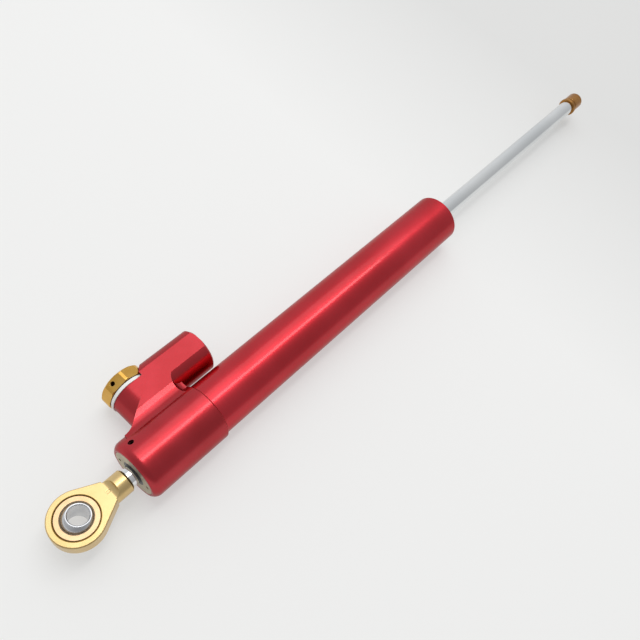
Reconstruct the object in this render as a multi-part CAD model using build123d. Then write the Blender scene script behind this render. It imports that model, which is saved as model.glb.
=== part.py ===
from build123d import *
import os
from math import acos, asin, atan2, cos, degrees, hypot, pi, radians, sin, sqrt, tan

# A motorcycle steering damper with a rod that runs right through it.
# Millimetres. The pieces are drawn with the rod along X, from the ball joint at the origin
# to the far rod end, with the reservoir towards Y and the milled flat up.
# At the end everything is rolled about X, so that it lies on its collar and its knob.
# A name in _r is a radius, in _deg an angle, in _x or _y a place along that axis.

# Clearances, and how far a cutter runs past the face that it opens
run_fit = 0.04
seat_fit = 0.02
face_gap = 0.05
stop_gap = 0.3
rod_gap = 0.3
cut_over = 1.0

# Ball joint: the ball, the liner it turns in, and the race round both
ball_r = 6.5
ball_width = 9.0
ball_bore_r = 4.0
ball_chamfer = 0.3
ball_tilt_deg = 12.0
liner_wall = 0.44
liner_width = 5.6
race_wall = 1.5
race_chamfer = 0.35

# Rod end eye: a flat ring that runs into a round neck
eye_wall = 2.5
eye_thickness = 6.0
eye_chamfer = 0.4
shoulder_length = 3.3
neck_r = 5.0
neck_length = 7.8
neck_rise_length = 2.7
neck_chamfer = 0.7

# Rod, with a thinner threaded stud at each end
rod_r = 4.0
stud_r = 3.0
eye_stud_length = 8.8
cap_stud_length = 7.5
rod_show_length = 3.2
stroke = 120.0
cap_clear_length = 16.5

# Cap nut on the far end of the rod
cap_flange_r = 5.0
cap_flange_length = 2.0
cap_waist_r = 4.1
cap_waist_length = 1.0
cap_body_r = 4.55
cap_body_length = 8.5
cap_round_r = 1.5
cap_chamfer = 0.25

# Outer tube and inner tube, with the oil gap between them
tube_r = 12.0
tube_wall = 1.5
tube_chamfer = 0.7
tube_inset = 5.4
tube_seat_length = 11.0
oil_gap = 1.0
inner_wall = 1.0
cross_hole_r = 1.0
cross_hole_inset = 1.5
cross_hole_count = 4

# Housing: the collar round the tube
collar_wall = 1.0
collar_round_length = 3.2
collar_round_depth = 1.8
collar_chamfer = 0.5

# Housing: the valve boss and the reservoir barrel beside the collar
boss_inset = 21.3
boss_r = 9.0
boss_reach = 2.55
reservoir_gap = 2.1
reservoir_root_inset = 3.4
reservoir_chamfer = 0.8
knob_room = 0.7

# Housing: the web, its near edge, its sloping shoulder and its far pocket
web_start_inset = 5.7
web_root_depth = 2.0
web_fillet = 9.0
web_turn_deg = 34.5
shoulder_reach = 3.0
slope_deg = 12.0
slope_fillet = 6.0
pocket_r = 8.7
pocket_beyond = 4.4
pocket_reach = 1.2
pocket_depth = 4.4
pocket_fillet = 4.2

# Near gland: flange, body in the housing, spigot in the inner tube
flange_step = 0.7
flange_length = 3.0
flange_gap = 0.1
land_length = 15.2
gland_overlap_length = 10.0
spigot_length = 3.0
flow_groove_inset = 8.2
flow_groove_length = 2.5
flow_groove_depth = 2.6
flow_room_depth = 1.9
flow_hole_r = 0.7
flow_hole_count = 4
body_seal_inset = 4.7
body_seal_beyond = 1.9
body_seal_depth = 1.2
body_seal_length = 1.5
pin_hole_r = 0.8
pin_hole_depth = 1.8

# Lock screw of the near gland
lock_inset = 2.0
lock_angle_deg = 28.0
lock_r = 1.25
lock_sink = 0.8
lock_groove_depth = 0.5
lock_socket_width = 1.3
lock_socket_depth = 1.3

# Rod bushes, seals and wipers, the same section in both glands
bush_wall = 1.2
near_bush_length = 10.0
far_bush_length = 6.0
bush_inset = 0.6
rod_seal_wall = 2.2
rod_seal_length = 3.6
rod_seal_land = 1.0
seal_notch_depth = 1.6
seal_notch_share = 0.5
wiper_wall = 1.5
wiper_length = 2.6
wiper_lip_length = 0.6
wiper_lip_wall = 0.5

# Far gland and the circlip that holds it in the tube
far_gland_length = 12.0
far_nose_length = 2.8
far_nose_sink = 0.2
far_nose_step = 2.1
far_seal_inset = 4.5
clip_length = 0.9
clip_depth = 0.6
clip_inner_gap = 0.5
clip_opening = 4.0

# Bump rings and piston
bump_length = 2.7
bump_wall = 1.8
piston_length = 16.0
piston_gap = 0.15
recess_length = 1.2
recess_wall = 1.2
band_length = 4.2
band_wall = 0.9
expander_wall = 1.0
rod_clip_length = 0.8
rod_clip_depth = 0.6
rod_clip_wall = 1.0
rod_clip_opening = 3.0

# Seal ring between the tube's end and the housing
tube_seal_length = 1.0

# Needle valve in the boss: seat, bush, needle, spindle
seat_floor = 0.5
seat_r = 3.0
seat_length = 2.0
port_r = 1.25
chamber_length = 6.0
valve_bush_r = 6.0
foot_depth = 0.8
foot_wall = 1.0
waist_depth = 1.4
waist_length = 2.0
bleed_r = 0.6
bush_seal_length = 0.95
bush_seal_depth = 0.85
bush_seal_inset = 0.25
needle_r = 2.0
needle_flat_step = 0.1
needle_tip_r = 0.3
needle_cone_length = 2.0
needle_body_length = 5.0
needle_stem_r = 1.5
needle_stem_length = 5.5
needle_pitch = 1.0
adjuster_turn_deg = 330.0
spindle_r = 2.8
spindle_gap = 0.75
spindle_flange_step = 0.8
spindle_flange_length = 1.0
spindle_seal_inset = 2.0
spindle_seal_length = 1.0
spindle_seal_depth = 0.65
drilling_r = 0.8

# Detent ring, adjuster knob and what it holds
detent_ring_r = 9.4
detent_ring_length = 1.5
detent_ring_chamfer = 0.2
track_depth = 0.35
track_half = 0.8
knob_r = 10.0
knob_length = 5.2
knob_gap = 0.25
knob_chamfer = 0.6
knob_foot_chamfer = 0.3
knob_flat_depth = 0.55
knob_flat_count = 8
dish_r = 6.4
dish_depth = 0.8
slot_width = 0.8
slot_depth = 0.6
knob_screw_angle_deg = 30.0
knob_screw_height = 3.1
knob_screw_r = 1.0
knob_screw_length = 3.0
knob_socket_width = 1.1
knob_socket_depth = 1.2
detent_ball_r = 0.75
detent_pitch_r = 7.6
detent_ball_lift = 0.45
detent_hole_depth = 3.4
detent_spring_wall = 0.2
detent_angles_deg = (knob_screw_angle_deg + 90, knob_screw_angle_deg - 90)

# Reservoir: passage, piston, spring, plug, circlip
reservoir_wall = 2.0
reservoir_bore_r = 8.0
reservoir_floor = 2.7
passage_r = 1.0
oil_space_length = 2.0
float_length = 5.5
float_travel = 2.5
float_seal_length = 1.8
float_seal_depth = 1.4
spring_spigot_r = 4.3
spring_spigot_length = 1.5
spring_mean_r = 5.4
spring_wire_r = 0.5
spring_turns = 4
spring_spare_length = 1.0
plug_length = 3.0
plug_seal_length = 1.5
plug_seal_depth = 1.1
plug_socket_width = 4.0
plug_socket_depth = 1.6
plug_clip_length = 0.8
plug_clip_depth = 0.6
plug_clip_wall = 1.6
plug_clip_opening = 4.0
plug_lip_length = 0.65

# Number of sides that the rubber cords are drawn with
cord_sides = 8

# Stations along the rod
race_r = ball_r + run_fit + liner_wall + seat_fit + race_wall
eye_r = race_r + eye_wall
shoulder_x = eye_r + shoulder_length
neck_end_x = shoulder_x + neck_length
collar_x = neck_end_x + rod_show_length
flange_end_x = collar_x + flange_length
flow_x = flange_end_x + flow_groove_inset
land_end_x = flange_end_x + land_length
boss_x = collar_x + boss_inset
tube_x = boss_x + tube_inset
collar_end_x = tube_x + tube_seat_length
gland_end_x = tube_x + gland_overlap_length
spigot_end_x = gland_end_x + spigot_length
near_stop_x = spigot_end_x + bump_length
piston_x = near_stop_x + stop_gap + stroke
piston_end_x = piston_x + piston_length
far_stop_x = piston_end_x + stop_gap
far_spigot_x = far_stop_x + bump_length
far_gland_x = far_spigot_x + spigot_length
tube_end_x = far_gland_x + far_gland_length
nose_x = tube_end_x - far_nose_length
cap_x = tube_end_x + stroke + cap_clear_length

# Radii about the rod
collar_r = tube_r + collar_wall
tube_bore_r = tube_r - tube_wall
inner_tube_r = tube_bore_r - oil_gap
inner_bore_r = inner_tube_r - inner_wall
spigot_r = inner_bore_r - seat_fit
flange_r = inner_tube_r + flange_step
rod_run_r = rod_r + run_fit
rod_clear_r = rod_r + rod_gap
bush_r = rod_run_r + bush_wall
rod_seal_r = rod_run_r + rod_seal_wall
wiper_r = rod_run_r + wiper_wall
bump_r = rod_clear_r + bump_wall
flow_pitch_r = (bush_r + spigot_r) / 2
piston_r = inner_bore_r - piston_gap
recess_r = rod_r + recess_wall
band_r = inner_bore_r - run_fit
band_bore_r = band_r - band_wall
expander_bore_r = band_bore_r - seat_fit - expander_wall
nose_r = tube_bore_r - far_nose_step

# Places along the boss, which stands on the rod's axis and points along Y
reservoir_r = reservoir_bore_r + reservoir_wall
reservoir_y = tube_r + reservoir_gap + reservoir_r
boss_end_y = reservoir_y + boss_reach
seat_y = tube_bore_r + seat_floor
seat_end_y = seat_y + seat_length
chamber_end_y = seat_y + chamber_length
foot_end_y = chamber_end_y + foot_depth
waist_y = reservoir_y - waist_length / 2
ring_end_y = boss_end_y + detent_ring_length
knob_y = ring_end_y + knob_gap
knob_end_y = knob_y + knob_length
needle_travel = needle_pitch * adjuster_turn_deg / 360
needle_flat_half = needle_stem_r + needle_flat_step
needle_slope = (needle_flat_half - needle_tip_r) / needle_cone_length
needle_reach = (port_r - face_gap - needle_tip_r) / needle_slope
needle_y = seat_end_y - needle_reach + needle_travel
needle_body_y = needle_y + needle_cone_length
needle_stem_y = needle_body_y + needle_body_length
needle_end_y = needle_stem_y + needle_stem_length
spindle_y = needle_stem_y + spindle_gap
spindle_flange_r = spindle_r + spindle_flange_step
spindle_end_y = knob_end_y - dish_depth

# Places along the reservoir, which lies beside the tube
knob_room_r = knob_r + knob_room
reservoir_x = boss_x + reservoir_root_inset
oil_x = boss_x + knob_room_r + reservoir_floor
float_x = oil_x + oil_space_length
float_end_x = float_x + float_length
spring_solid_length = 2 * spring_wire_r * (spring_turns + 1)
spring_room_length = spring_solid_length + float_travel + spring_spare_length
plug_x = float_end_x + spring_room_length
plug_end_x = plug_x + plug_length
reservoir_end_x = plug_end_x + plug_clip_length + face_gap + plug_lip_length


# Shapes that every piece is made from

def turned(corners):
    """Solid turned about the rod's axis from a list of (x, radius) corners."""
    return revolve(make_face(Polyline(*corners, close=True)), Axis.X)


def ring(start_x, end_x, inner_r, outer_r):
    """Plain ring about the rod's axis."""
    return turned([(start_x, inner_r), (end_x, inner_r), (end_x, outer_r), (start_x, outer_r)])


def disc(start_x, end_x, radius):
    """Plain cylinder about the rod's axis."""
    return ring(start_x, end_x, 0, radius)


def cord_ring(centre_x, floor_r, wall_r):
    """Rubber ring of round cord that fills the room between a groove's floor and a wall."""
    cord_r = (wall_r - floor_r) / 2 - seat_fit
    section = Pos(centre_x, (floor_r + wall_r) / 2) * RegularPolygon(cord_r, cord_sides)
    return revolve(section, Axis.X)


def seal_groove(centre_x, length, floor_r, wall_r):
    """Cutter for the groove that such a ring lies in."""
    return ring(centre_x - length / 2, centre_x + length / 2, floor_r, wall_r + cut_over)


def open_clip(start_x, end_x, inner_r, outer_r, opening):
    """Flat spring clip: a ring with an opening in its lower side."""
    clip = ring(start_x, end_x, inner_r, outer_r)
    middle_x = (start_x + end_x) / 2
    return clip - Pos(middle_x, 0, -outer_r) * Box(2 * (end_x - start_x), opening, 2 * outer_r)


def radial_pin(x, angle_deg, start_r, end_r, radius):
    """Cylinder that stands on the rod's axis, turned from up towards Y by the angle."""
    upright = Pos(x, 0, (start_r + end_r) / 2) * Cylinder(radius, end_r - start_r)
    return Rot(-angle_deg, 0, 0) * upright


def side_pin(start_x, end_x, angle_deg, pitch_r, radius):
    """Cylinder that lies parallel to the rod's axis, at a pitch radius and an angle."""
    return Rot(-angle_deg, 0, 0) * Pos(0, 0, pitch_r) * disc(start_x, end_x, radius)


def grub_screw(x, angle_deg, start_r, end_r, radius, socket_width, socket_depth):
    """Headless screw on a radius, with a hexagon socket in its outer end."""
    socket_face = RegularPolygon(socket_width / 2, 6, major_radius=False)
    socket = Pos(x, 0, end_r - socket_depth) * extrude(socket_face, socket_depth + cut_over)
    return radial_pin(x, angle_deg, start_r, end_r, radius) - Rot(-angle_deg, 0, 0) * socket


def on_boss(shape):
    """Puts a shape drawn about the rod's axis onto the boss's axis, its X along Y."""
    return Pos(boss_x, 0, 0) * Rot(0, 0, 90) * shape


def on_reservoir(shape):
    """Puts a shape drawn about the rod's axis onto the reservoir's axis."""
    return Pos(0, reservoir_y, 0) * shape


# Ball joint and rod end eye

def bearing_ball():
    """Ball with two flat faces and a bolt hole, held at the tilt that it lies at."""
    ball = Sphere(ball_r) & Cylinder(ball_r + cut_over, ball_width)
    ball -= Cylinder(ball_bore_r, ball_width + cut_over)
    rims = ball.edges().filter_by(GeomType.CIRCLE)
    bore_rims = [rim for rim in rims if abs(rim.radius - ball_bore_r) < seat_fit]
    return Rot(0, ball_tilt_deg, 0) * chamfer(bore_rims, ball_chamfer)


def bearing_liner():
    """Thin slippery liner, a band of a hollow sphere round the ball."""
    inner_r = ball_r + run_fit
    shell = Sphere(inner_r + liner_wall) - Sphere(inner_r)
    return shell & Cylinder(race_r, liner_width)


def bearing_race():
    """Outer ring with a spherical inside, its outer edges broken."""
    race = Cylinder(race_r, eye_thickness)
    race = chamfer(race.edges().filter_by(GeomType.CIRCLE), race_chamfer)
    return race - Sphere(race_r - race_wall)


def eye_plate():
    """Flat ring of the eye, drawn out by two tangents to a straight shoulder."""
    reach = hypot(shoulder_x, neck_r)
    touch = atan2(neck_r, shoulder_x) + acos(eye_r / reach)
    touch_x = eye_r * cos(touch)
    touch_y = eye_r * sin(touch)
    corners = [(touch_x, touch_y), (shoulder_x, neck_r)]
    corners += [(shoulder_x, -neck_r), (touch_x, -touch_y)]
    plan = Circle(eye_r) + make_face(Polyline(*corners, close=True))
    plate = extrude(plan, eye_thickness / 2, both=True)
    rims = plate.faces().filter_by(Axis.Z).edges()
    return chamfer([rim for rim in rims if rim.center().X < shoulder_x - seat_fit], eye_chamfer)


def eye_neck():
    """Round neck that rises out of the plate in a hollow curve."""
    start_x = shoulder_x - neck_rise_length
    half = eye_thickness / 2
    rise_x = shoulder_x + neck_rise_length
    neck = turned([(start_x, 0), (neck_end_x, 0), (neck_end_x, neck_r - neck_chamfer),
                   (neck_end_x - neck_chamfer, neck_r), (start_x, neck_r)])
    top = [Line((start_x, half), (shoulder_x, half)),
           TangentArc((shoulder_x, half), (rise_x, neck_r), tangent=(1, 0)),
           Line((rise_x, neck_r), (neck_end_x, neck_r)),
           Line((neck_end_x, neck_r), (neck_end_x, 0)),
           Line((neck_end_x, 0), (start_x, 0)),
           Line((start_x, 0), (start_x, half))]
    side = extrude(Plane.XZ * make_face(top), neck_r, both=True)
    return neck & (side + mirror(side, Plane.XY))


def rod_end_eye():
    """Eye in one piece, bored for the race and, along the neck, for the rod's stud."""
    eye = eye_plate() + eye_neck()
    eye -= Cylinder(race_r + seat_fit, eye_thickness + cut_over)
    hole_x = neck_end_x - eye_stud_length - stop_gap
    return eye - disc(hole_x, neck_end_x + cut_over, stud_r + seat_fit)


# Rod, piston and what is on them

def rod_clip_places():
    """Where the two clips lie, each against the floor of a recess in the piston."""
    near_x = piston_x + recess_length - rod_clip_length
    far_x = piston_end_x - recess_length
    return [(near_x, near_x + rod_clip_length), (far_x, far_x + rod_clip_length)]


def rod():
    """Ground rod with a stud at each end and a groove for each piston clip."""
    stud_x = neck_end_x - eye_stud_length
    stud_end_x = cap_x + cap_stud_length
    shaft = turned([(stud_x, 0), (stud_x, stud_r), (neck_end_x, stud_r), (neck_end_x, rod_r),
                    (cap_x, rod_r), (cap_x, stud_r), (stud_end_x, stud_r), (stud_end_x, 0)])
    for start_x, end_x in rod_clip_places():
        shaft -= ring(start_x, end_x, rod_r - rod_clip_depth, rod_r + cut_over)
    return shaft


def piston_circlips():
    """The two clips that hold the piston on the rod."""
    inner_r = rod_r - rod_clip_depth + seat_fit
    outer_r = rod_r + rod_clip_wall
    near, far = rod_clip_places()
    return (open_clip(*near, inner_r, outer_r, rod_clip_opening)
            + open_clip(*far, inner_r, outer_r, rod_clip_opening))


def piston():
    """Piston with a wide groove for its band and a recess in each face for a clip."""
    body = ring(piston_x, piston_end_x, rod_r + seat_fit, piston_r)
    body -= disc(piston_x - cut_over, piston_x + recess_length, recess_r)
    body -= disc(piston_end_x - recess_length, piston_end_x + cut_over, recess_r)
    groove_length = band_length + 2 * face_gap
    groove_x = (piston_x + piston_end_x) / 2
    return body - seal_groove(groove_x, groove_length, expander_bore_r - run_fit, piston_r)


def band_ring(inner_r, outer_r):
    """Ring that fills the piston's groove from side to side."""
    start_x = (piston_x + piston_end_x - band_length) / 2
    return ring(start_x, start_x + band_length, inner_r, outer_r)


def piston_band():
    """Slippery band that seals the piston in the inner tube."""
    return band_ring(band_bore_r, band_r)


def piston_expander():
    """Rubber ring under the band that presses it outwards."""
    return band_ring(expander_bore_r, band_bore_r - seat_fit)


def rod_end_cap():
    """Cap nut: flange, narrow waist and a body with a rounded end, bored for the stud."""
    flange_end = cap_x + cap_flange_length
    waist_end = flange_end + cap_waist_length
    end_x = waist_end + cap_body_length
    corners = [(end_x, 0), (cap_x, 0), (cap_x, cap_flange_r - cap_chamfer),
               (cap_x + cap_chamfer, cap_flange_r), (flange_end - cap_chamfer, cap_flange_r),
               (flange_end, cap_flange_r - cap_chamfer), (flange_end, cap_waist_r),
               (waist_end, cap_waist_r), (waist_end, cap_body_r - cap_chamfer),
               (waist_end + cap_chamfer, cap_body_r), (end_x - cap_round_r, cap_body_r)]
    nose = [TangentArc((end_x - cap_round_r, cap_body_r), (end_x, cap_body_r - cap_round_r),
                       tangent=(1, 0)),
            Line((end_x, cap_body_r - cap_round_r), (end_x, 0))]
    cap = revolve(make_face([*Polyline(*corners).edges(), *nose]), Axis.X)
    return cap - disc(cap_x - cut_over, cap_x + cap_stud_length + stop_gap, stud_r + seat_fit)


# Tubes, glands and seals

def damper_tube():
    """Outer tube, its far edge broken, with the groove for the far circlip."""
    tube = turned([(tube_x, tube_bore_r), (tube_end_x, tube_bore_r),
                   (tube_end_x, tube_r - tube_chamfer), (tube_end_x - tube_chamfer, tube_r),
                   (tube_x, tube_r)])
    groove_r = tube_bore_r + clip_depth
    return tube - ring(nose_x, nose_x + clip_length + face_gap, nose_r, groove_r)


def inner_tube():
    """Thin tube that the piston runs in, with oil holes at its far end."""
    tube = ring(gland_end_x, far_gland_x, inner_bore_r, inner_tube_r)
    hole_x = far_spigot_x - cross_hole_inset
    for hole in range(cross_hole_count):
        angle = 360 * hole / cross_hole_count
        tube -= radial_pin(hole_x, angle, 0, inner_tube_r + cut_over, cross_hole_r)
    return tube


def rod_bores(outer_x, inner_x, bush_length):
    """Cutters for a gland: the clear bore, the wiper's, seal's and bush's rooms."""
    way = 1 if inner_x > outer_x else -1
    wiper_floor_x = outer_x + way * (wiper_length + face_gap)
    seal_x = wiper_floor_x + way * rod_seal_land
    seal_end_x = seal_x + way * (rod_seal_length + face_gap)
    bush_end_x = inner_x - way * (bush_inset + bush_length)
    cutters = disc(outer_x - way * cut_over, inner_x + way * cut_over, rod_clear_r)
    cutters += disc(outer_x - way * cut_over, wiper_floor_x, wiper_r + seat_fit)
    cutters += disc(seal_x, seal_end_x, rod_seal_r + seat_fit)
    return cutters + disc(bush_end_x, inner_x + way * cut_over, bush_r + seat_fit)


def guide_bush(inner_x, bush_length, way):
    """Bush that the rod runs in, pushed into the gland's inner end."""
    end_x = inner_x - way * bush_inset
    return ring(end_x - way * bush_length, end_x, rod_run_r, bush_r)


def rod_seal(outer_x, way):
    """Lip seal of U section, its notch towards the oil."""
    back_x = outer_x + way * (wiper_length + face_gap + rod_seal_land)
    front_x = back_x + way * rod_seal_length
    lip_wall = rod_seal_wall * (1 - seal_notch_share) / 2
    middle_r = (rod_run_r + rod_seal_r) / 2
    return turned([(back_x, rod_run_r), (front_x, rod_run_r), (front_x, rod_run_r + lip_wall),
                   (front_x - way * seal_notch_depth, middle_r),
                   (front_x, rod_seal_r - lip_wall), (front_x, rod_seal_r),
                   (back_x, rod_seal_r)])


def wiper(outer_x, way):
    """Wiper ring with a thin lip that stands out of the gland's face."""
    back_x = outer_x + way * wiper_length
    lip_x = outer_x - way * wiper_lip_length
    return turned([(back_x, rod_run_r), (lip_x, rod_run_r), (lip_x, rod_run_r + wiper_lip_wall / 2),
                   (outer_x, rod_run_r + wiper_lip_wall), (outer_x, wiper_r), (back_x, wiper_r)])


def body_seal_places():
    """Where the near gland's two seal rings lie, one each side of the flow groove."""
    return [flange_end_x + body_seal_inset, flow_x + flow_groove_length + body_seal_beyond]


def near_gland():
    """Gland in the collar, with its flange, seal grooves, flow groove and flow holes."""
    body = turned([(collar_x, 0), (collar_x, flange_r), (flange_end_x, flange_r),
                   (flange_end_x, inner_tube_r), (gland_end_x, inner_tube_r),
                   (gland_end_x, spigot_r), (spigot_end_x, spigot_r), (spigot_end_x, 0)])
    body -= rod_bores(collar_x, spigot_end_x, near_bush_length)
    lock_x = flange_end_x + lock_inset
    body -= seal_groove(lock_x, 2 * (lock_r + face_gap), inner_tube_r - lock_groove_depth,
                        inner_tube_r)
    for centre_x in body_seal_places():
        body -= seal_groove(centre_x, body_seal_length, inner_tube_r - body_seal_depth,
                            inner_tube_r)
    body -= ring(flow_x, flow_x + flow_groove_length, inner_tube_r - flow_groove_depth,
                 inner_tube_r + cut_over)
    for hole in range(flow_hole_count):
        angle = 360 * (hole + 1 / 2) / flow_hole_count
        body -= side_pin(flow_x, spigot_end_x + cut_over, angle, flow_pitch_r, flow_hole_r)
    pin_pitch_r = (wiper_r + flange_r) / 2
    for angle in (90, 270):
        body -= side_pin(collar_x - cut_over, collar_x + pin_hole_depth, angle, pin_pitch_r,
                         pin_hole_r)
    return body


def near_gland_o_rings():
    """The two seal rings round the near gland."""
    floor_r = inner_tube_r - body_seal_depth
    near_x, far_x = body_seal_places()
    return (cord_ring(near_x, floor_r, inner_tube_r + seat_fit)
            + cord_ring(far_x, floor_r, inner_tube_r + seat_fit))


def gland_lock_screw():
    """Grub screw through the collar into a groove of the near gland."""
    return grub_screw(flange_end_x + lock_inset, lock_angle_deg,
                      inner_tube_r - lock_groove_depth + seat_fit, collar_r - lock_sink,
                      lock_r, lock_socket_width, lock_socket_depth)


def far_gland():
    """Gland in the tube's far end: spigot, body with a seal groove, and a thinner nose."""
    body_r = tube_bore_r - seat_fit
    end_x = tube_end_x - far_nose_sink
    body = turned([(far_spigot_x, 0), (far_spigot_x, spigot_r), (far_gland_x, spigot_r),
                   (far_gland_x, body_r), (nose_x, body_r), (nose_x, nose_r),
                   (end_x, nose_r), (end_x, 0)])
    body -= rod_bores(end_x, far_spigot_x, far_bush_length)
    return body - seal_groove(far_gland_x + far_seal_inset, body_seal_length,
                              body_r - body_seal_depth, body_r)


def far_gland_o_ring():
    """Seal ring round the far gland."""
    floor_r = tube_bore_r - seat_fit - body_seal_depth
    return cord_ring(far_gland_x + far_seal_inset, floor_r, tube_bore_r)


def far_circlip():
    """Clip in the tube's groove, in front of the far gland's shoulder."""
    outer_r = tube_bore_r + clip_depth - seat_fit
    return open_clip(nose_x, nose_x + clip_length, nose_r + clip_inner_gap, outer_r,
                     clip_opening)


def tube_o_ring():
    """Seal ring between the tube's end and the step inside the housing."""
    centre_r = (tube_bore_r + tube_r) / 2
    half = tube_seal_length / 2
    return cord_ring(tube_x - half, centre_r - half, centre_r + half)


# Housing, machined from one block

def collar():
    """Round sleeve: a full curve at its near end, a small chamfer at its far end."""
    round_x = collar_x + collar_round_length
    round_r = collar_r - collar_round_depth
    edge = [TangentArc((round_x, collar_r), (collar_x, round_r), tangent=(-1, 0))]
    corners = [(collar_x, round_r), (collar_x, 0), (collar_end_x, 0),
               (collar_end_x, collar_r - collar_chamfer),
               (collar_end_x - collar_chamfer, collar_r), (round_x, collar_r)]
    return revolve(make_face([*Polyline(*corners).edges(), *edge]), Axis.X)


def reservoir_barrel():
    """Barrel beside the tube, with its milled flat and the room cut for the knob."""
    barrel = turned([(reservoir_x, 0), (reservoir_x, reservoir_r),
                     (reservoir_end_x - reservoir_chamfer, reservoir_r),
                     (reservoir_end_x, reservoir_r - reservoir_chamfer), (reservoir_end_x, 0)])
    length = reservoir_end_x - reservoir_x + cut_over
    middle_x = (reservoir_x + reservoir_end_x) / 2
    flat = Pos(middle_x, 0, boss_r + reservoir_r / 2) * Box(length, 2 * reservoir_r, reservoir_r)
    barrel = on_reservoir(barrel - flat)
    return barrel - on_boss(disc(boss_end_y, knob_end_y + cut_over, knob_room_r))


def web_plan():
    """Outline of the web from above: a hollow curve, a slant to the boss, a square end."""
    start_x = collar_x + web_start_inset
    root_y = collar_r - web_root_depth
    turn = radians(web_turn_deg)
    bend_x = start_x + web_fillet * sin(turn)
    bend_y = root_y + web_fillet * (1 - cos(turn))
    slant_y = bend_y + (boss_x - bend_x) * tan(turn)
    room_x = boss_x + knob_room_r
    pocket_x = collar_end_x + pocket_beyond - pocket_r / 2
    corners = [(bend_x, bend_y), (boss_x, slant_y), (boss_x, boss_end_y), (room_x, boss_end_y),
               (pocket_x, reservoir_y), (pocket_x, 0), (start_x, 0), (start_x, root_y)]
    root = TangentArc((start_x, root_y), (bend_x, bend_y), tangent=(1, 0))
    return make_face([*Polyline(*corners).edges(), root])


def web_section():
    """Section of the web: flat, then a slope, then a small hollow curve onto the collar."""
    slope = radians(slope_deg)
    edge_y = collar_r + shoulder_reach
    sunk_r = collar_r - seat_fit
    foot_y = edge_y - slope_fillet * sin(slope)
    foot_z = boss_r + slope_fillet * cos(slope)
    along = foot_y * cos(slope) + foot_z * sin(slope)
    off = hypot(foot_y, foot_z)
    back = along - sqrt(along ** 2 - off ** 2 + (sunk_r + slope_fillet) ** 2)
    centre_y = foot_y - back * cos(slope)
    centre_z = foot_z - back * sin(slope)
    share = sunk_r / (sunk_r + slope_fillet)
    touch = (centre_y * share, centre_z * share)
    slope_end = (centre_y + slope_fillet * sin(slope), centre_z - slope_fillet * cos(slope))
    corners = [slope_end, (edge_y, boss_r), (knob_end_y, boss_r), (knob_end_y, 0),
               (touch[0], 0), touch]
    hollow = TangentArc(slope_end, touch, tangent=(-cos(slope), -sin(slope)))
    half = make_face([*Polyline(*corners).edges(), hollow])
    upper = Pos(collar_x, 0, 0) * extrude(Plane.YZ * half, reservoir_end_x - collar_x)
    return upper + mirror(upper, Plane.XY)


def pocket():
    """Cutter for a round pocket whose floor runs up into its wall in a hollow curve."""
    floor_z = boss_r - pocket_depth
    top_z = boss_r + cut_over
    flat_r = pocket_r - pocket_fillet
    bend = (pocket_r, floor_z + pocket_fillet)
    corners = [bend, (pocket_r, top_z), (0, top_z), (0, floor_z), (flat_r, floor_z)]
    hollow = TangentArc((flat_r, floor_z), bend, tangent=(1, 0))
    return revolve(Plane.XZ * make_face([*Polyline(*corners).edges(), hollow]), Axis.Z)


def web():
    """Boss and the web that joins it to collar and barrel, with a pocket from each side."""
    block = extrude(web_plan(), boss_r + cut_over, both=True)
    block += on_boss(disc(0, boss_end_y, boss_r))
    cutter = Pos(collar_end_x + pocket_beyond, tube_r + pocket_reach, 0) * pocket()
    return (block & web_section()) - cutter - mirror(cutter, Plane.XY)


def oil_drilling():
    """Slanting drilling from the gland's flow groove to the foot of the valve bush."""
    low = Vector(flow_x + flow_groove_length / 2, inner_tube_r + flow_room_depth / 2, 0)
    mouth = Vector(boss_x + valve_bush_r - drilling_r, boss_end_y, 0)
    rise_share = (foot_end_y - low.Y) / (mouth.Y - low.Y)
    high = low + (mouth - low) * rise_share
    length = (high - low).length
    return Plane(origin=low, z_dir=mouth - low) * Pos(0, 0, length / 2) * Cylinder(drilling_r, length)


def rod_side_bores():
    """Cutters along the rod's axis: gland seat, flow room, oil gap, tube seat, seal groove."""
    land_r = inner_tube_r + seat_fit
    half = tube_seal_length / 2
    centre_r = (tube_bore_r + tube_r) / 2
    cutters = disc(collar_x - cut_over, flange_end_x, flange_r + flange_gap)
    cutters += disc(collar_x, tube_x, land_r)
    cutters += disc(flow_x, flow_x + flow_groove_length, land_r + flow_room_depth)
    cutters += disc(land_end_x, tube_x, tube_bore_r)
    cutters += disc(tube_x, collar_end_x + cut_over, tube_r + seat_fit)
    return cutters + ring(tube_x - tube_seal_length, tube_x, centre_r - half, centre_r + half)


def valve_bores():
    """Cutters along the boss's axis: port, seat and chamber, and the bush's bore."""
    cutters = disc(inner_tube_r, seat_y + seat_fit, port_r)
    cutters += disc(seat_y, chamber_end_y, seat_r + seat_fit)
    return on_boss(cutters + disc(chamber_end_y, boss_end_y + cut_over, valve_bush_r + seat_fit))


def reservoir_bores():
    """Cutters along the reservoir's axis: passage, bore and the groove for its clip."""
    groove_end_x = plug_end_x + plug_clip_length + face_gap
    cutters = disc(boss_x, oil_x + seat_fit, passage_r)
    cutters += disc(oil_x, reservoir_end_x + cut_over, reservoir_bore_r)
    return on_reservoir(cutters + disc(plug_end_x, groove_end_x, reservoir_bore_r + plug_clip_depth))


def housing():
    """Collar, boss, barrel and web in one piece, bored and drilled."""
    block = collar() + web() + reservoir_barrel()
    block -= rod_side_bores()
    block -= valve_bores()
    block -= reservoir_bores()
    block -= oil_drilling()
    return block - radial_pin(flange_end_x + lock_inset, lock_angle_deg, 0,
                              collar_r + cut_over, lock_r + seat_fit)


# Needle valve and adjuster

def valve_seat():
    """Seat insert with the port that the needle closes."""
    return on_boss(ring(seat_y, seat_end_y, port_r, seat_r))


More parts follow.
